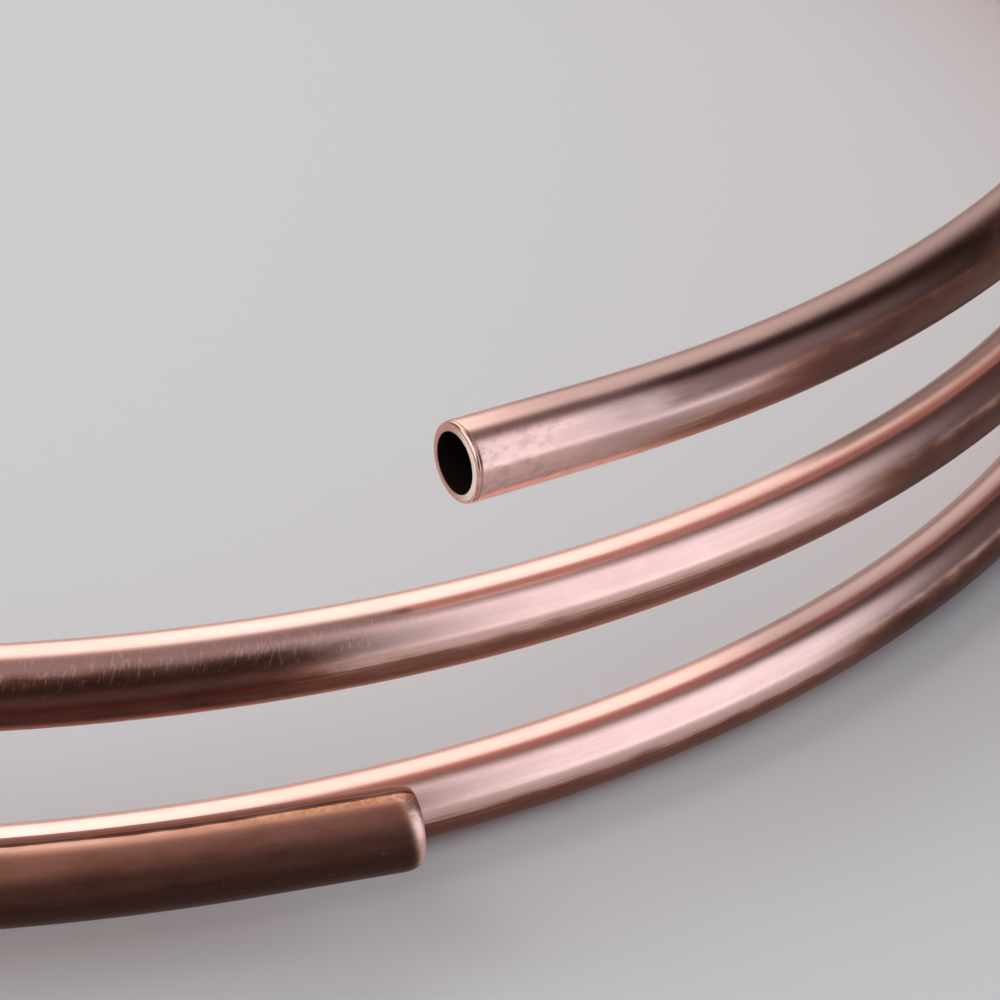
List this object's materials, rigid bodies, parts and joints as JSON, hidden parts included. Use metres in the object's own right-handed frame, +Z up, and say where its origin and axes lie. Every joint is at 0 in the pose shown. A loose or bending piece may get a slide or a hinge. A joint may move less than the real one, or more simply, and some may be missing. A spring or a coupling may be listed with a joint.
{
  "type": "copper tube coil",
  "caption": "Soft round tube with both ends cut square and open, lying in open turns that climb as a left-handed helix; carries fluid and is cut and bent to fit.",
  "frame": {"origin": "on the floor under the middle of the coil's box", "axes": "+Z up along the axis of the turns; -Y is the front, where both cut ends stop; +X to the right of the front"},
  "size_m": [0.3364, 0.3434, 0.0441],
  "materials": {
    "copper": "drawn bare copper, satin, lightly oxidised"
  },
  "bodies": {
    "root": {"copper_tube": "copper"}
  },
  "joints": []
}
